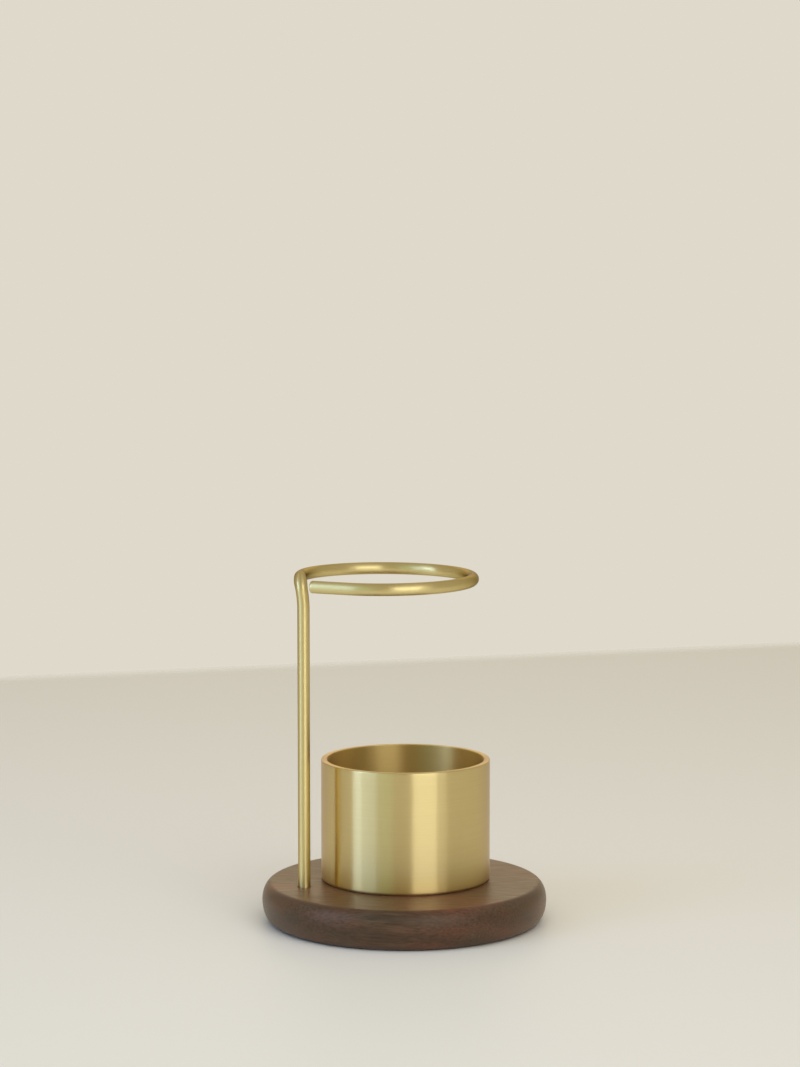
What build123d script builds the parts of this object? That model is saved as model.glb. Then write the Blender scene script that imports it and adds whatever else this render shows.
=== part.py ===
"""Desk pen holder, in millimetres: a turned walnut base, a brass cup screwed to it from below,
and a bent brass wire stand that holds an open ring above the cup and turns in the base.

The origin is the centre of the underside. +Z is up, -Y is the front and +X is the right side.
"""

import os
from math import cos, pi, radians, sin, tan

from build123d import *

os.makedirs("parts", exist_ok=True)

# Walnut base: a turned disc with a flat top and a full, rounded side
BASE_DIAMETER = 70.6
BASE_THICKNESS = 9.6
UPPER_ROUND_WIDTH = 2.6
LOWER_ROUND_WIDTH = 2.8
BULGE_HEIGHT = 5.25

# Felt pad, glued into a shallow recess in the underside
PAD_MARGIN = 2.5
PAD_THICKNESS = 1.0
PAD_RECESS = 0.8
PAD_EDGE_GAP = 0.15

# Brass cup, turned from bar, set a little behind the centre of the base
CUP_X = 0.3
CUP_Y = 2.7
CUP_DIAMETER = 42.0
CUP_HEIGHT = 30.2
CUP_WALL = 1.5
CUP_FLOOR = 4.5
CUP_FOOT_ROUND = 0.8
CUP_RIM_ROUND = 0.3
CUP_CORNER_ROUND = 1.5

# Pan head machine screw and washer that pull the cup down onto the base
SCREW_DIAMETER = 4.0
SCREW_LENGTH = 8.0
SCREW_HEAD_DIAMETER = 8.0
SCREW_HEAD_HEIGHT = 3.1
SCREW_HEAD_ROUND = 1.2
SCREW_TIP_CHAMFER = 0.4
CROSS_WIDTH = 1.0
CROSS_LENGTH = 4.4
CROSS_DEPTH = 1.6
THREAD_CLEARANCE = 0.05
THREAD_RUN_OUT = 0.4
WASHER_DIAMETER = 9.0
WASHER_THICKNESS = 0.8
WASHER_BORE_CLEARANCE = 0.15
SHANK_CLEARANCE = 0.25
COUNTERBORE_CLEARANCE = 0.3
WOOD_UNDER_CUP = 4.2

# Ring stand: one brass wire, with a post, a tight elbow and an open ring
WIRE_DIAMETER = 3.0
POST_X = -24.6
POST_Y = -7.6
WOOD_UNDER_POST = 1.1
POST_RUNNING_CLEARANCE = 0.05
SOCKET_MOUTH_CHAMFER = 0.2
WIRE_END_CHAMFER = 0.25
RING_HEIGHT = 76.4
LEAN_ANGLE = 9.0
LEAN_RADIUS = 30.0
ELBOW_RADIUS = 3.1
RING_RADIUS = 21.1
RING_MOUTH_ANGLE = 65.0
RING_DROP = 0.7
RING_SPANS = 4
STRAIGHT_END = 9.9

# Levels, worked out from the sizes above
underside = PAD_THICKNESS - PAD_RECESS
recess_ceiling = underside + PAD_RECESS
base_top = underside + BASE_THICKNESS
washer_seat = base_top - WOOD_UNDER_CUP
head_seat = washer_seat - WASHER_THICKNESS
thread_end = head_seat + SCREW_LENGTH
socket_floor = recess_ceiling + WOOD_UNDER_POST

# Radii that more than one piece shares
underside_radius = BASE_DIAMETER / 2 - LOWER_ROUND_WIDTH
pad_radius = underside_radius - PAD_MARGIN


# Walnut base
with BuildPart() as walnut_base:
    with BuildSketch(Plane.XZ):
        with BuildLine():
            bottom = Line((0, underside), (underside_radius, underside))
            lower_side = EllipticalCenterArc(
                (underside_radius, underside + BULGE_HEIGHT),
                LOWER_ROUND_WIDTH,
                BULGE_HEIGHT,
                start_angle=270,
                arc_size=90,
            )
            upper_side = EllipticalCenterArc(
                (BASE_DIAMETER / 2 - UPPER_ROUND_WIDTH, underside + BULGE_HEIGHT),
                UPPER_ROUND_WIDTH,
                BASE_THICKNESS - BULGE_HEIGHT,
                start_angle=0,
                arc_size=90,
            )
            Polyline(upper_side @ 1, (0, base_top), bottom @ 0)
        make_face()
    revolve(axis=Axis.Z)

    # Recess for the pad
    with BuildSketch(Plane.XY.offset(underside)):
        Circle(pad_radius + PAD_EDGE_GAP)
    extrude(amount=PAD_RECESS, mode=Mode.SUBTRACT)

    # Counterbored hole for the cup's screw, drilled from below
    with Locations(Location((CUP_X, CUP_Y, recess_ceiling), (180, 0, 0))):
        CounterBoreHole(
            radius=SCREW_DIAMETER / 2 + SHANK_CLEARANCE,
            counter_bore_radius=WASHER_DIAMETER / 2 + COUNTERBORE_CLEARANCE,
            counter_bore_depth=washer_seat - recess_ceiling,
            depth=base_top - recess_ceiling,
        )

    # Blind socket that the wire's foot turns in, with a slightly broken edge
    with Locations((POST_X, POST_Y, base_top)):
        CounterSinkHole(
            radius=WIRE_DIAMETER / 2 + POST_RUNNING_CLEARANCE,
            counter_sink_radius=WIRE_DIAMETER / 2 + POST_RUNNING_CLEARANCE + SOCKET_MOUTH_CHAMFER,
            depth=base_top - socket_floor,
        )
walnut_base.part.label = "walnut_base"


# Felt pad
with BuildPart() as felt_pad:
    with BuildSketch(Plane.XY):
        Circle(pad_radius)
    extrude(amount=PAD_THICKNESS)
felt_pad.part.label = "felt_pad"


# Brass cup
with BuildPart() as brass_cup:
    with BuildSketch(Plane.XY.offset(base_top)):
        with Locations((CUP_X, CUP_Y)):
            Circle(CUP_DIAMETER / 2)
    extrude(amount=CUP_HEIGHT)
    foot_edge = brass_cup.edges().filter_by(GeomType.CIRCLE).sort_by(Axis.Z)[0]
    fillet(foot_edge, CUP_FOOT_ROUND)

    with BuildSketch(Plane.XY.offset(base_top + CUP_FLOOR)):
        with Locations((CUP_X, CUP_Y)):
            Circle(CUP_DIAMETER / 2 - CUP_WALL)
    extrude(amount=CUP_HEIGHT - CUP_FLOOR, mode=Mode.SUBTRACT)
    rim_edges = brass_cup.edges().filter_by(GeomType.CIRCLE).group_by(Axis.Z)[-1]
    fillet(rim_edges, CUP_RIM_ROUND)
    inner_floor = brass_cup.faces().filter_by(GeomType.PLANE).sort_by(Axis.Z)[1]
    fillet(inner_floor.edges(), CUP_CORNER_ROUND)

    # Blind tapped hole in the underside of the floor
    with BuildSketch(Plane.XY.offset(base_top)):
        with Locations((CUP_X, CUP_Y)):
            Circle(SCREW_DIAMETER / 2 + THREAD_CLEARANCE)
    extrude(amount=thread_end + THREAD_RUN_OUT - base_top, mode=Mode.SUBTRACT)
brass_cup.part.label = "brass_cup"


# Pan head screw, head down, with its cross recess
with BuildPart() as cup_screw:
    with BuildSketch(Plane.XY.offset(head_seat)):
        with Locations((CUP_X, CUP_Y)):
            Circle(SCREW_HEAD_DIAMETER / 2)
    extrude(amount=-SCREW_HEAD_HEIGHT)
    head_edge = cup_screw.edges().filter_by(GeomType.CIRCLE).sort_by(Axis.Z)[0]
    fillet(head_edge, SCREW_HEAD_ROUND)
    with BuildSketch(Plane.XY.offset(head_seat)):
        with Locations((CUP_X, CUP_Y)):
            Circle(SCREW_DIAMETER / 2)
    extrude(amount=SCREW_LENGTH)
    tip_edge = cup_screw.edges().filter_by(GeomType.CIRCLE).sort_by(Axis.Z)[-1]
    chamfer(tip_edge, SCREW_TIP_CHAMFER)
    with BuildSketch(Plane.XY.offset(head_seat - SCREW_HEAD_HEIGHT)):
        with Locations((CUP_X, CUP_Y)):
            Rectangle(CROSS_LENGTH, CROSS_WIDTH)
            Rectangle(CROSS_WIDTH, CROSS_LENGTH)
    extrude(amount=CROSS_DEPTH, mode=Mode.SUBTRACT)
cup_screw.part.label = "cup_screw"


# Washer between the screw's head and the wood
with BuildPart() as cup_washer:
    with BuildSketch(Plane.XY.offset(head_seat)):
        with Locations((CUP_X, CUP_Y)):
            Circle(WASHER_DIAMETER / 2)
            Circle(SCREW_DIAMETER / 2 + WASHER_BORE_CLEARANCE, mode=Mode.SUBTRACT)
    extrude(amount=WASHER_THICKNESS)
cup_washer.part.label = "cup_washer"


# Ring stand: the wire rises from its socket, leans out a little where it was gripped for the
# bend, turns over the elbow, runs back and round clockwise, and ends in a short straight length.
# The ring sinks slightly as it goes round, as a hand-bent wire ring does.
foot_point = Vector(POST_X, POST_Y, socket_floor)
lean = radians(LEAN_ANGLE)
lean_offset = Vector(-LEAN_RADIUS * (1 - cos(lean)), 0, LEAN_RADIUS * sin(lean))
lean_direction = Vector(-sin(lean), 0, cos(lean))
ring_arc = 360 - RING_MOUTH_ANGLE
ring_slope = RING_DROP / (radians(ring_arc) * RING_RADIUS)
heading = Vector(0, 1, -ring_slope).normalized()
elbow_turn = lean_direction.get_angle(heading)
elbow_reach = ELBOW_RADIUS * tan(radians(elbow_turn) / 2)
elbow_offset = (lean_direction + heading) * elbow_reach
ring_level = base_top + RING_HEIGHT
lean_start = Vector(POST_X, POST_Y, ring_level - elbow_offset.Z - lean_offset.Z)
elbow_start = lean_start + lean_offset
ring_start = elbow_start + elbow_offset


def ring_point(angle):
    """Centre of the wire, that many degrees round the ring from the elbow."""
    turn = radians(angle)
    return ring_start + Vector(
        RING_RADIUS * (1 - cos(turn)), RING_RADIUS * sin(turn), -RING_DROP * angle / ring_arc
    )


with BuildPart() as ring_stand:
    with BuildLine() as wire_line:
        Line(foot_point, lean_start)
        TangentArc(lean_start, elbow_start, tangent=(0, 0, 1))
        bend = TangentArc(elbow_start, ring_start, tangent=lean_direction)
        for span in range(RING_SPANS):
            span_end = ring_point(ring_arc * (span + 1) / RING_SPANS)
            bend = TangentArc(bend @ 1, span_end, tangent=bend % 1)
        Line(bend @ 1, bend @ 1 + (bend % 1) * STRAIGHT_END)
    with BuildSketch(Plane.XY.offset(socket_floor)):
        with Locations((POST_X, POST_Y)):
            Circle(WIRE_DIAMETER / 2)
    sweep()
    foot_face = ring_stand.faces().filter_by(GeomType.PLANE).sort_by(Axis.Z)[0]
    cut_face = ring_stand.faces().filter_by(GeomType.PLANE).sort_by(Axis.Z)[-1]
    chamfer(foot_face.edges() + cut_face.edges(), WIRE_END_CHAMFER)
ring_stand.part.label = "ring_stand"


for piece in (walnut_base, felt_pad, brass_cup, cup_screw, cup_washer, ring_stand):
    export_step(piece.part, f"parts/{piece.part.label}.step")

wire_section = pi * (WIRE_DIAMETER / 2) ** 2
wire_length = wire_line.wire().length
print(f"wire {wire_length:.1f} mm long, volume {ring_stand.part.volume:.1f} mm3,")
print(f"section times length {wire_section * wire_length:.1f} mm3")
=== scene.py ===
"""Looks of the desk pen holder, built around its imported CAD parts.

Pieces are drawn in millimetres in the CAD frame and scaled to metres when they are finished.
"""

from math import atan2, cos, pi, radians, sin

import bmesh
import bpy
from mathutils import Matrix, Vector


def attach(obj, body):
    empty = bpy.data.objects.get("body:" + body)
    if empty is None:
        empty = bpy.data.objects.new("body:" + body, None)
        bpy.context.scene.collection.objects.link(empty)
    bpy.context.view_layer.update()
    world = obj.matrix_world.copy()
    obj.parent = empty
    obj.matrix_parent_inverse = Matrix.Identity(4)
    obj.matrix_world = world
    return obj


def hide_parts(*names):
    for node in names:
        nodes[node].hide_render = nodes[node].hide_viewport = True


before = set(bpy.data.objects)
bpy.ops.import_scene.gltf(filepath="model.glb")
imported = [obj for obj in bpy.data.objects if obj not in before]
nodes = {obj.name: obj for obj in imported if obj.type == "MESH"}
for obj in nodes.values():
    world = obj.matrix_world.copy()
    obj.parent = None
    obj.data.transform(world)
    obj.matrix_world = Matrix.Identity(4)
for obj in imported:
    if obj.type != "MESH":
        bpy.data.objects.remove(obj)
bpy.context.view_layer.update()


# Felt pad: a punched disc of pressed wool felt, glued into the recess under the base so that
# 0.2 mm of it stands proud. Its cut edge is a little soft and its face is fibrous.
MM = 0.001
SHARP_ANGLE = radians(35)
PAD_RADIUS = 30.0
PAD_THICKNESS = 1.0
PAD_EDGE_ROUND = 0.22
PAD_SIDES = 160


def linear(colour):
    """An sRGB hex colour as the linear RGBA that a shader takes."""
    parts = [int(colour[i : i + 2], 16) / 255 for i in (1, 3, 5)]
    return [c / 12.92 if c <= 0.04045 else ((c + 0.055) / 1.055) ** 2.4 for c in parts] + [1]


def add(tree, kind, inputs=None, **settings):
    """Adds a shader node: settings are its properties, and inputs are values or linked sockets."""
    made = tree.nodes.new("ShaderNode" + kind)
    for name, value in settings.items():
        setattr(made, name, value)
    for name, value in (inputs or {}).items():
        if isinstance(value, bpy.types.NodeSocket):
            tree.links.new(value, made.inputs[name])
        else:
            made.inputs[name].default_value = value
    return made


def new_material(name):
    """A new material and its node tree, which is still empty."""
    material = bpy.data.materials.new(name)
    material.use_nodes = True
    tree = material.node_tree
    tree.nodes.clear()
    return material, tree


def finish_piece(bm, name, material, body, stands_for):
    """Makes an object of a closed mesh drawn in millimetres and hands it to its CAD body."""
    bmesh.ops.scale(bm, vec=(MM, MM, MM), verts=bm.verts)
    bmesh.ops.recalc_face_normals(bm, faces=bm.faces)
    mesh = bpy.data.meshes.new(name)
    bm.to_mesh(mesh)
    bm.free()
    mesh.shade_smooth()
    mesh.set_sharp_from_angle(angle=SHARP_ANGLE)
    mesh.materials.append(material)
    made = bpy.data.objects.new(name, mesh)
    bpy.context.scene.collection.objects.link(made)
    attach(made, body)
    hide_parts(stands_for)


# Pressed wool felt: dull and dark, with fibres of some 0.4 mm lying every way, clumps of some
# 2.4 mm and a faint bloom of sheen
felt, tree = new_material("pressed_wool_felt")
place = add(tree, "TexCoord")
fibres = add(
    tree,
    "TexNoise",
    {"Vector": place.outputs["Object"], "Scale": 2600, "Detail": 4, "Roughness": 0.7},
)
clumps = add(tree, "TexNoise", {"Vector": place.outputs["Object"], "Scale": 420, "Detail": 3})
fleck = add(
    tree,
    "Mix",
    {"Factor": fibres.outputs["Fac"], "A": linear("#2b2622"), "B": linear("#4a423b")},
    data_type="RGBA",
)
height = add(
    tree, "Math", {0: fibres.outputs["Fac"], 1: clumps.outputs["Fac"]}, operation="ADD"
)
bump = add(tree, "Bump", {"Height": height.outputs[0], "Strength": 0.8, "Distance": 0.1 * MM})
shader = add(
    tree,
    "BsdfPrincipled",
    {
        "Base Color": fleck.outputs["Result"],
        "Roughness": 0.95,
        "Sheen Weight": 0.35,
        "Sheen Roughness": 0.5,
        "Normal": bump.outputs["Normal"],
    },
)
add(tree, "OutputMaterial", {"Surface": shader.outputs["BSDF"]})

bm = bmesh.new()
bmesh.ops.create_circle(bm, segments=PAD_SIDES, radius=PAD_RADIUS, cap_ends=True)
disc = bmesh.ops.extrude_face_region(bm, geom=bm.faces[:])
upper = [v for v in disc["geom"] if isinstance(v, bmesh.types.BMVert)]
bmesh.ops.translate(bm, vec=(0, 0, PAD_THICKNESS), verts=upper)
rims = [e for e in bm.edges if abs(e.verts[0].co.z - e.verts[1].co.z) < 1e-6]
bmesh.ops.bevel(
    bm, geom=rims, offset=PAD_EDGE_ROUND, segments=3, profile=0.5, affect="EDGES", material=-1
)
finish_piece(bm, "felt_disc", felt, "base", "felt_pad")


# Walnut base: a disc of American walnut, faceplate turned with a full round edge, sanded and
# rubbed with a satin hardwax oil. The CAD node is shown. The grain runs from side to side.
EDGE_TONE_START = 32.5
EDGE_TONE_FULL = 34.5

walnut, tree = new_material("walnut_hardwax_oiled")
place = add(tree, "TexCoord")
board = add(
    tree,
    "Mapping",
    {
        "Vector": place.outputs["Object"],
        "Rotation": (radians(9), radians(-4), radians(7)),
        "Scale": (1 / MM, 1 / MM, 1 / MM),
    },
)
# Growth rings lie nearly flat in the board and wander by a few millimetres, some 6 mm apart,
# and patches of redder wood are some 9 mm wide and three times as long
ring_place = add(
    tree,
    "Mapping",
    {"Vector": board.outputs["Vector"], "Location": (0, -3, 4), "Scale": (0.35, 1, 1)},
)
rings = add(
    tree,
    "TexWave",
    {
        "Vector": ring_place.outputs["Vector"],
        "Scale": 0.05,
        "Distortion": 4.5,
        "Detail": 2,
        "Detail Scale": 1.5,
        "Phase Offset": 1.2,
    },
    wave_type="BANDS",
    bands_direction="Z",
)
patches = add(
    tree,
    "TexNoise",
    {"Vector": ring_place.outputs["Vector"], "Scale": 0.11, "Detail": 3, "Roughness": 0.6},
)
patch = add(
    tree,
    "MapRange",
    {"Value": patches.outputs["Fac"], "From Min": 0.35, "From Max": 0.65},
)
# Fibres are long in X: streaks 0.5 mm wide and 8 mm long, with open pores some 3 mm long
along = add(tree, "Mapping", {"Vector": board.outputs["Vector"], "Scale": (0.06, 1, 1)})
streaks = add(
    tree,
    "TexNoise",
    {"Vector": along.outputs["Vector"], "Scale": 2.1, "Detail": 5, "Roughness": 0.6},
)
pore_cells = add(
    tree,
    "Mapping",
    {"Vector": board.outputs["Vector"], "Scale": (0.3, 2.4, 2.4)},
)
pores = add(tree, "TexVoronoi", {"Vector": pore_cells.outputs["Vector"], "Scale": 1})
pore = add(
    tree,
    "MapRange",
    {
        "Value": pores.outputs["Distance"],
        "From Min": 0.08,
        "From Max": 0.2,
        "To Min": 0.5,
        "To Max": 0,
    },
)
tone = add(
    tree,
    "Mix",
    {"Factor": patch.outputs["Result"], "A": linear("#4c3b2d"), "B": linear("#5e392a")},
    data_type="RGBA",
)
ring_depth = add(tree, "Math", {0: rings.outputs["Fac"], 1: 0.45}, operation="MULTIPLY")
banded = add(
    tree,
    "Mix",
    {"Factor": ring_depth.outputs[0], "A": tone.outputs["Result"], "B": linear("#372a22")},
    data_type="RGBA",
)
streak = add(
    tree, "MapRange", {"Value": streaks.outputs["Fac"], "From Min": 0.3, "From Max": 0.7}
)
streaked = add(
    tree,
    "Mix",
    {"Factor": 0.42, "A": banded.outputs["Result"], "B": streak.outputs["Result"]},
    data_type="RGBA",
    blend_type="OVERLAY",
)
pored = add(
    tree,
    "Mix",
    {"Factor": pore.outputs["Result"], "A": streaked.outputs["Result"], "B": linear("#261811")},
    data_type="RGBA",
)
# Painted sheen: the flat top is tinted warmer and redder than the edge, and the edge cooler and
# less red, for the warm sheen the top catches at a low angle
planar = add(tree, "VectorMath", {0: place.outputs["Object"], 1: (1, 1, 0)}, operation="MULTIPLY")
from_middle = add(tree, "VectorMath", {0: planar.outputs[0]}, operation="LENGTH")
edge = add(
    tree,
    "MapRange",
    {
        "Value": from_middle.outputs["Value"],
        "From Min": MM * EDGE_TONE_START,
        "From Max": MM * EDGE_TONE_FULL,
    },
    interpolation_type="SMOOTHSTEP",
)
painted_top_sheen_tint = add(
    tree,
    "Mix",
    {"Factor": edge.outputs["Result"], "A": linear("#ffeae4"), "B": linear("#effeff")},
    data_type="RGBA",
)
top_sheen_tinted = add(
    tree,
    "Mix",
    {"Factor": 1, "A": pored.outputs["Result"], "B": painted_top_sheen_tint.outputs["Result"]},
    data_type="RGBA",
    blend_type="MULTIPLY",
)
# The soft early wood takes up more oil and dries duller than the hard late wood
rubbed = add(
    tree,
    "MapRange",
    {
        "Value": streaks.outputs["Fac"],
        "From Min": 0.38,
        "From Max": 0.62,
        "To Min": 0.29,
        "To Max": 0.45,
    },
)
relief = add(
    tree,
    "Math",
    {0: streaks.outputs["Fac"], 1: 0.4, 2: pore.outputs["Result"]},
    operation="MULTIPLY_ADD",
)
bump = add(tree, "Bump", {"Height": relief.outputs[0], "Strength": 0.5, "Distance": -0.03 * MM})
shader = add(
    tree,
    "BsdfPrincipled",
    {
        "Base Color": top_sheen_tinted.outputs["Result"],
        "Roughness": rubbed.outputs["Result"],
        "IOR": 1.5,
        "Specular Tint": linear("#e8d6c0"),
        "Sheen Weight": 0.1,
        "Sheen Roughness": 0.5,
        "Sheen Tint": linear("#ffd08f"),
        "Normal": bump.outputs["Normal"],
    },
)
add(tree, "OutputMaterial", {"Surface": shader.outputs["BSDF"]})
nodes["walnut_base"].material_slots[0].material = walnut


# Screw and washer that hold the cup down from below: zinc-plated steel with a clear
# passivation, a soft grey shine that is faintly cloudy. The CAD nodes are shown.
zinc, tree = new_material("zinc_plated_steel")
place = add(tree, "TexCoord")
cloud = add(tree, "TexNoise", {"Vector": place.outputs["Object"], "Scale": 700, "Detail": 4})
dulling = add(
    tree,
    "MapRange",
    {"Value": cloud.outputs["Fac"], "To Min": 0.24, "To Max": 0.42},
)
plating = add(
    tree,
    "Mix",
    {"Factor": cloud.outputs["Fac"], "A": linear("#c3c8cc"), "B": linear("#d9dad4")},
    data_type="RGBA",
)
shader = add(
    tree,
    "BsdfPrincipled",
    {
        "Base Color": plating.outputs["Result"],
        "Metallic": 1,
        "Roughness": dulling.outputs["Result"],
    },
)
add(tree, "OutputMaterial", {"Surface": shader.outputs["BSDF"]})
nodes["cup_screw"].material_slots[0].material = zinc
nodes["cup_washer"].material_slots[0].material = zinc


# Brass cup: turned from bar, with a flat floor, a blind hole tapped in its underside and eased
# edges. Its walls were brushed on the lathe, so fine lines run round it.
CUP_CENTRE = Vector((0.3, 2.7, 0))
CUP_RADIUS = 21.0
CUP_WALL = 1.5
CUP_FOOT = 9.8
CUP_RIM = 40.0
CUP_FLOOR = 14.3
CUP_HOLE_RADIUS = 2.05
CUP_HOLE_END = 13.2
FOOT_ROUND = 0.8
RIM_ROUND = 0.3
CORNER_ROUND = 1.5
FOOT_BAND = 7.0
LINES_PER_METRE = 5500
SECTION_STEP = 0.8
CUP_SIDES = 192

# Brushed brass: warm and satin. The lines round it pull each reflection into an upright band.
brass, tree = new_material("lathe_brushed_brass")
place = add(tree, "TexCoord")
centred = add(
    tree,
    "Mapping",
    {"Vector": place.outputs["Object"], "Location": -MM * CUP_CENTRE},
)
axes = add(tree, "SeparateXYZ", {"Vector": centred.outputs["Vector"]})
out = add(tree, "CombineXYZ", {"X": axes.outputs["X"], "Y": axes.outputs["Y"]})
reach = add(tree, "VectorMath", {0: out.outputs[0]}, operation="LENGTH")
# Fine lines some 15 mm long, on the walls by height and on flat faces by radius. Real ones are
# under 0.1 mm apart; these are 0.18 mm, so that they just show.
line_place = add(
    tree,
    "Mapping",
    {"Vector": centred.outputs["Vector"], "Scale": (70, 70, LINES_PER_METRE)},
)
line_radius = add(
    tree, "Math", {0: reach.outputs["Value"], 1: LINES_PER_METRE}, operation="MULTIPLY"
)
lines = add(
    tree,
    "TexNoise",
    {
        "Vector": line_place.outputs["Vector"],
        "W": line_radius.outputs[0],
        "Scale": 1,
        "Detail": 3,
        "Roughness": 0.7,
    },
    noise_dimensions="4D",
)
line_tone = add(
    tree,
    "MapRange",
    {
        "Value": lines.outputs["Fac"],
        "From Min": 0.3,
        "From Max": 0.7,
        "To Min": 0.97,
        "To Max": 1.02,
    },
)
# Painted reflection: the lowest few millimetres are tinted warmer, for the walnut base reflected
# in the foot
above_foot = add(
    tree,
    "MapRange",
    {
        "Value": axes.outputs["Z"],
        "From Min": MM * CUP_FOOT,
        "From Max": MM * (CUP_FOOT + FOOT_BAND),
    },
    interpolation_type="SMOOTHSTEP",
)
foot_reflection_tone = add(
    tree,
    "Mix",
    {"Factor": above_foot.outputs["Result"], "A": linear("#ebd18b"), "B": linear("#e7d296")},
    data_type="RGBA",
)
# The bore was left as it came from the boring bar, duller than the brushed outside. Its warmer,
# yellower colour is painted shade inside the cup, where the cool window light hardly reaches.
outside = add(
    tree,
    "MapRange",
    {
        "Value": reach.outputs["Value"],
        "From Min": MM * (CUP_RADIUS - CUP_WALL),
        "From Max": MM * (CUP_RADIUS - CUP_WALL + RIM_ROUND),
    },
)
dulled = add(
    tree, "MapRange", {"Value": outside.outputs["Result"], "To Min": 0.55, "To Max": 0.3}
)
bore_shade_tone = add(
    tree,
    "Mix",
    {"Factor": outside.outputs["Result"], "A": linear("#f6d88d"), "B": foot_reflection_tone.outputs["Result"]},
    data_type="RGBA",
)
metal = add(
    tree,
    "Mix",
    {"Factor": 1, "A": bore_shade_tone.outputs["Result"], "B": line_tone.outputs["Result"]},
    data_type="RGBA",
    blend_type="MULTIPLY",
)
bump = add(tree, "Bump", {"Height": lines.outputs["Fac"], "Strength": 0.12, "Distance": 0.02 * MM})
shader = add(
    tree,
    "BsdfPrincipled",
    {
        "Base Color": metal.outputs["Result"],
        "Metallic": 1,
        "Specular Tint": linear("#e6dfe4"),
        "Roughness": dulled.outputs["Result"],
        "Anisotropic": 1,
        "Anisotropic Rotation": 0.25,
        "Normal": bump.outputs["Normal"],
    },
)
add(tree, "OutputMaterial", {"Surface": shader.outputs["BSDF"]})

bm = bmesh.new()
half_section = [
    (0, CUP_HOLE_END),
    (CUP_HOLE_RADIUS, CUP_HOLE_END),
    (CUP_HOLE_RADIUS, CUP_FOOT),
    (CUP_RADIUS, CUP_FOOT),
    (CUP_RADIUS, CUP_RIM),
    (CUP_RADIUS - CUP_WALL, CUP_RIM),
    (CUP_RADIUS - CUP_WALL, CUP_FLOOR),
    (0, CUP_FLOOR),
]
corners = [bm.verts.new((radius, 0, height)) for radius, height in half_section]
for start, end in zip(corners, corners[1:]):
    bm.edges.new((start, end))
roundings = [
    ([corners[3]], FOOT_ROUND, 8),
    ([corners[4], corners[5]], RIM_ROUND, 6),
    ([corners[6]], CORNER_ROUND, 10),
]
for rounded, size, segments in roundings:
    bmesh.ops.bevel(
        bm,
        geom=rounded,
        offset=size,
        segments=segments,
        profile=0.5,
        affect="VERTICES",
        material=-1,
    )
# Long runs of the section are cut short, so that the roundings don't bend their shading
for run in bm.edges[:]:
    cuts = int(run.calc_length() / SECTION_STEP)
    if cuts:
        bmesh.ops.subdivide_edges(bm, edges=[run], cuts=cuts)
bmesh.ops.translate(bm, vec=CUP_CENTRE, verts=bm.verts)
bmesh.ops.spin(
    bm,
    geom=bm.verts[:] + bm.edges[:],
    cent=CUP_CENTRE,
    axis=(0, 0, 1),
    angle=2 * pi,
    steps=CUP_SIDES,
    use_merge=True,
)
bmesh.ops.remove_doubles(bm, verts=bm.verts, dist=1e-4)
finish_piece(bm, "turned_cup", brass, "base", "brass_cup")


# Ring stand: one length of 3 mm half-hard brass wire, bent cold. It rises from its socket,
# leans out a little where it was gripped, turns tightly over the elbow, which flattens there,
# runs back and round in an open ring, and ends in a short straight piece, cut square.
WIRE_RADIUS = 1.5
POST = Vector((-24.6, -7.6, 0))
SOCKET_FLOOR = 2.1
RING_LEVEL = 86.2
LEAN_ANGLE = radians(9)
LEAN_RADIUS = 30.0
ELBOW_RADIUS = 3.1
RING_RADIUS = 21.1
RING_ARC = radians(295)
RING_DROP = 0.7
STRAIGHT_END = 9.9
END_CHAMFER = 0.25
ELBOW_FLATTENING = 0.14
ELBOW_SPREAD = 0.08
UPRIGHT_TOP = 77.0
ELBOW_LEVEL = 83.0
WIRE_SIDES = 48
POST_STEPS = 40
LEAN_STEPS = 12
ELBOW_STEPS = 32
RING_STEPS = 220
END_STEPS = 12

# Drawn brass wire, rubbed level with a fine abrasive pad, so round the upright and along the
# ring: satin, and each light shows as a long stripe across the fine lines that the pad left.
wire_brass, tree = new_material("satin_brass_wire")
place = add(tree, "TexCoord")
grit = add(tree, "TexNoise", {"Vector": place.outputs["Object"], "Scale": 1500, "Detail": 3})
wear = add(tree, "MapRange", {"Value": grit.outputs["Fac"], "To Min": 0.26, "To Max": 0.32})
# The pad reached less well over the elbow and ring, which are slightly duller
level = add(tree, "SeparateXYZ", {"Vector": place.outputs["Object"]})
bent = add(
    tree,
    "MapRange",
    {
        "Value": level.outputs["Z"],
        "From Min": MM * UPRIGHT_TOP,
        "From Max": MM * ELBOW_LEVEL,
        "To Min": 0,
        "To Max": 0.04,
    },
)
satin = add(tree, "Math", {0: wear.outputs["Result"], 1: bent.outputs["Result"]}, operation="ADD")
# The lines' direction is level on every side. The slight tilt gives flat tops and ends one too.
surface = add(tree, "NewGeometry")
level_way = add(
    tree, "VectorMath", {0: (0.05, 0, 1), 1: surface.outputs["Normal"]}, operation="CROSS_PRODUCT"
)
bump = add(tree, "Bump", {"Height": grit.outputs["Fac"], "Strength": 0.12, "Distance": 0.02 * MM})
shader = add(
    tree,
    "BsdfPrincipled",
    {
        "Base Color": linear("#e4d193"),
        "Metallic": 1,
        "Specular Tint": linear("#a8a098"),
        "Roughness": satin.outputs["Value"],
        "Anisotropic": 0.9,
        "Anisotropic Rotation": 0.25,
        "Tangent": level_way.outputs["Vector"],
        "Normal": bump.outputs["Normal"],
    },
)
add(tree, "OutputMaterial", {"Surface": shader.outputs["BSDF"]})

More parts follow.
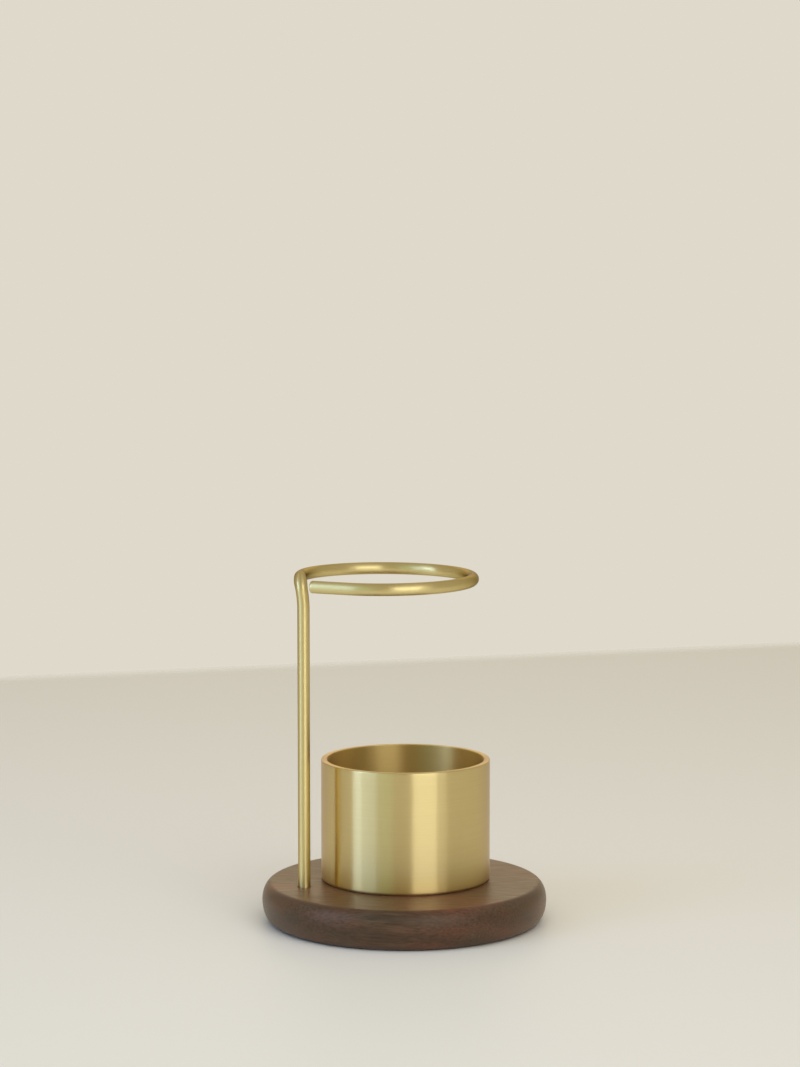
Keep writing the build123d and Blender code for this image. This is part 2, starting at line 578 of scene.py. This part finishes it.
lean_shift = Vector((-LEAN_RADIUS * (1 - cos(LEAN_ANGLE)), 0, LEAN_RADIUS * sin(LEAN_ANGLE)))
lean_heading = Vector((-sin(LEAN_ANGLE), 0, cos(LEAN_ANGLE)))
ring_heading = Vector((0, 1, -RING_DROP / (RING_ARC * RING_RADIUS))).normalized()
elbow_angle = lean_heading.angle(ring_heading)
elbow_reach = ELBOW_RADIUS * sin(elbow_angle) / (1 + cos(elbow_angle))
elbow_shift = (lean_heading + ring_heading) * elbow_reach
lean_start = POST + Vector((0, 0, RING_LEVEL - elbow_shift.z - lean_shift.z))
elbow_start = lean_start + lean_shift
ring_start = elbow_start + elbow_shift
inward = (ring_heading - lean_heading * ring_heading.dot(lean_heading)).normalized()
elbow_centre = elbow_start + inward * ELBOW_RADIUS
bend_axis = lean_heading.cross(ring_heading).normalized()

bm = bmesh.new()
bmesh.ops.create_circle(bm, segments=WIRE_SIDES, radius=WIRE_RADIUS)
bmesh.ops.translate(bm, vec=POST + Vector((0, 0, SOCKET_FLOOR)), verts=bm.verts)
foot_edges = bm.edges[:]


def run_on(edges, steps, **turn):
    """Carries the wire's open end on by a spin, or straight on where the angle is zero."""
    spun = bmesh.ops.spin(bm, geom=edges, steps=steps, **turn)
    return [e for e in spun["geom_last"] if isinstance(e, bmesh.types.BMEdge)]


post_rise = (lean_start.z - SOCKET_FLOOR) / POST_STEPS
tip = run_on(foot_edges, POST_STEPS, cent=POST, axis=(0, 0, 1), dvec=(0, 0, post_rise), angle=0)
tip = run_on(
    tip,
    LEAN_STEPS,
    cent=lean_start + Vector((-LEAN_RADIUS, 0, 0)),
    axis=(0, 1, 0),
    angle=-LEAN_ANGLE,
)
tip = run_on(tip, ELBOW_STEPS, cent=elbow_centre, axis=bend_axis, angle=elbow_angle)
# The outside of so tight a bend is drawn flatter, and the wire spreads a little sideways
for vert in bm.verts:
    reach_in = vert.co - elbow_centre
    aside = reach_in.dot(bend_axis)
    radial = reach_in - bend_axis * aside
    turned = atan2(radial.dot(lean_heading), -radial.dot(inward))
    if 0 < turned < elbow_angle:
        share = sin(pi * turned / elbow_angle) ** 2
        drawn_in = max(radial.length - ELBOW_RADIUS, 0) * ELBOW_FLATTENING * share
        vert.co += bend_axis * aside * ELBOW_SPREAD * share - radial.normalized() * drawn_in
tip = run_on(
    tip,
    RING_STEPS,
    cent=ring_start + Vector((RING_RADIUS, 0, 0)),
    axis=(0, 0, -1),
    dvec=(0, 0, -RING_DROP / RING_STEPS),
    angle=RING_ARC,
)
end_step = Vector((sin(RING_ARC), cos(RING_ARC), 0)) * STRAIGHT_END / END_STEPS
tip = run_on(tip, END_STEPS, cent=(0, 0, 0), axis=(0, 0, 1), dvec=end_step, angle=0)
for open_end in (foot_edges, tip):
    cap = bmesh.ops.contextual_create(bm, geom=open_end)["faces"]
    bmesh.ops.bevel(
        bm,
        geom=cap[0].edges[:],
        offset=END_CHAMFER,
        segments=2,
        profile=0.5,
        affect="EDGES",
        material=-1,
    )
finish_piece(bm, "bent_wire", wire_brass, "stand", "ring_stand")


# Studio: a satin off-white desk whose far edge runs a little askew behind the holder, a plain
# cream wall beyond it, and soft light from a window at the left and a bright room at the right.
DESK_HALF_SIZE = 1.5
DESK_EDGE = 0.432
DESK_EDGE_BLUR = 0.016
DESK_TURN = radians(16.8)
WALL_COLOUR = linear("#dfd9cb")

# Satin lacquer, off-white. Its far edge fades out softly into the wall.
desk_top, tree = new_material("satin_white_desk")
place = add(tree, "TexCoord")
depth = add(
    tree,
    "Mapping",
    {"Vector": place.outputs["Object"], "Rotation": (0, 0, -DESK_TURN)},
)
far = add(tree, "SeparateXYZ", {"Vector": depth.outputs["Vector"]})
fade = add(
    tree,
    "MapRange",
    {"Value": far.outputs["Y"], "From Min": DESK_EDGE - DESK_EDGE_BLUR, "From Max": DESK_EDGE},
)
shader = add(
    tree,
    "BsdfPrincipled",
    {"Base Color": linear("#e0dfdb"), "Roughness": 0.5, "IOR": 1.35},
)
clear = add(tree, "BsdfTransparent")
mixed = add(
    tree,
    "MixShader",
    {"Fac": fade.outputs["Result"], 1: shader.outputs["BSDF"], 2: clear.outputs["BSDF"]},
)
add(tree, "OutputMaterial", {"Surface": mixed.outputs["Shader"]})

bm = bmesh.new()
bmesh.ops.create_grid(bm, x_segments=1, y_segments=1, size=DESK_HALF_SIZE)
bmesh.ops.translate(bm, vec=(0, DESK_EDGE - DESK_HALF_SIZE, 0), verts=bm.verts)
bmesh.ops.rotate(bm, matrix=Matrix.Rotation(DESK_TURN, 3, "Z"), verts=bm.verts)
desk_mesh = bpy.data.meshes.new("desk")
bm.to_mesh(desk_mesh)
bm.free()
desk_mesh.materials.append(desk_top)
desk = bpy.data.objects.new("desk", desk_mesh)
bpy.context.scene.collection.objects.link(desk)

# The room's own dim light, warmer low down and ahead. The camera sees the plain wall instead.
scene = bpy.context.scene
scene.world = bpy.data.worlds.new("room")
scene.world.use_nodes = True
tree = scene.world.node_tree
tree.nodes.clear()
place = add(tree, "TexCoord")
compass = add(tree, "SeparateXYZ", {"Vector": place.outputs["Generated"]})
ahead = add(
    tree,
    "MapRange",
    {"Value": compass.outputs["Y"], "From Min": 0.8, "From Max": 1.0},
    interpolation_type="SMOOTHSTEP",
)
upward = add(
    tree,
    "MapRange",
    {"Value": compass.outputs["Z"], "From Min": 0.1, "From Max": 0.6},
    interpolation_type="SMOOTHSTEP",
)
around = add(
    tree,
    "Mix",
    {"Factor": upward.outputs["Result"], "A": linear("#b0a690"), "B": linear("#b9b2a4")},
    data_type="RGBA",
)
room = add(
    tree,
    "Mix",
    {"Factor": ahead.outputs["Result"], "A": around.outputs["Result"], "B": linear("#dfd1b5")},
    data_type="RGBA",
)
ray = add(tree, "LightPath")
wall = add(
    tree,
    "Mix",
    {"Factor": ray.outputs["Is Camera Ray"], "A": room.outputs["Result"], "B": WALL_COLOUR},
    data_type="RGBA",
)
glow = add(tree, "Background", {"Color": wall.outputs["Result"], "Strength": 1})
add(tree, "OutputWorld", {"Surface": glow.outputs["Background"]})

# Each lamp stands round the holder at a compass angle from the front, in degrees to the right:
# its name, angle, distance, height, width and height of its face, watts and colour
LAMP_AIM = Vector((0, 0, 0.03))
lamps = [
    ("window", -68, 0.95, 0.42, (0.27, 0.85), 2.1, "#a6c9ff"),
    ("curtain", -49.5, 0.95, 0.42, (0.35, 0.85), 1.31, "#9ccaff"),
    ("garden_side", -28, 0.95, 0.42, (0.35, 0.85), 0.25, "#8effff"),
    ("bright_room", 26.5, 0.95, 0.42, (0.62, 0.85), 2.63, "#f3f8ff"),
    ("bright_room_end", 51, 0.95, 0.42, (0.23, 0.85), 0.34, "#f3f8ff"),
    ("back_wall", 180, 1.2, 0.55, (0.8, 0.45), 0.83, "#ffe9b4"),
    ("ceiling", 18, 0.6, 1.13, (1.6, 1.6), 8.5, "#fffbf2"),
]
for name, turn, distance, rise, size, watts, colour in lamps:
    light = bpy.data.lights.new(name, "AREA")
    light.shape = "RECTANGLE"
    light.size, light.size_y = size
    light.energy = watts
    light.color = linear(colour)[:3]
    lamp = bpy.data.objects.new(name, light)
    spot = Vector((sin(radians(turn)) * distance, -cos(radians(turn)) * distance, rise))
    lamp.location = spot
    lamp.rotation_euler = (LAMP_AIM - spot).to_track_quat("-Z", "Y").to_euler()
    lamp.visible_camera = False
    # The ceiling is too wide and soft to show in a gloss
    lamp.visible_glossy = name != "ceiling"
    scene.collection.objects.link(lamp)

# Camera: some 0.7 m away, looking down by 5.7 degrees, with a long lens
CAMERA_TARGET = Vector((-0.00107, 0, 0.09641))
CAMERA_DISTANCE = 0.6943
CAMERA_RISE = radians(5.712)
FOCAL_LENGTH_PIXELS = 2825.4
PICTURE_HEIGHT_PIXELS = 1067
SENSOR_SIZE = 36
view_data = bpy.data.cameras.new("camera")
view_data.sensor_width = SENSOR_SIZE
view_data.lens = FOCAL_LENGTH_PIXELS / PICTURE_HEIGHT_PIXELS * SENSOR_SIZE
camera = bpy.data.objects.new("camera", view_data)
back = Vector((0, -cos(CAMERA_RISE), sin(CAMERA_RISE)))
camera.location = CAMERA_TARGET + back * CAMERA_DISTANCE
camera.rotation_euler = (-back).to_track_quat("-Z", "Y").to_euler()
view_data.clip_start, view_data.clip_end = 0.05, 20
scene.collection.objects.link(camera)
scene.camera = camera
scene.view_settings.view_transform = "Standard"
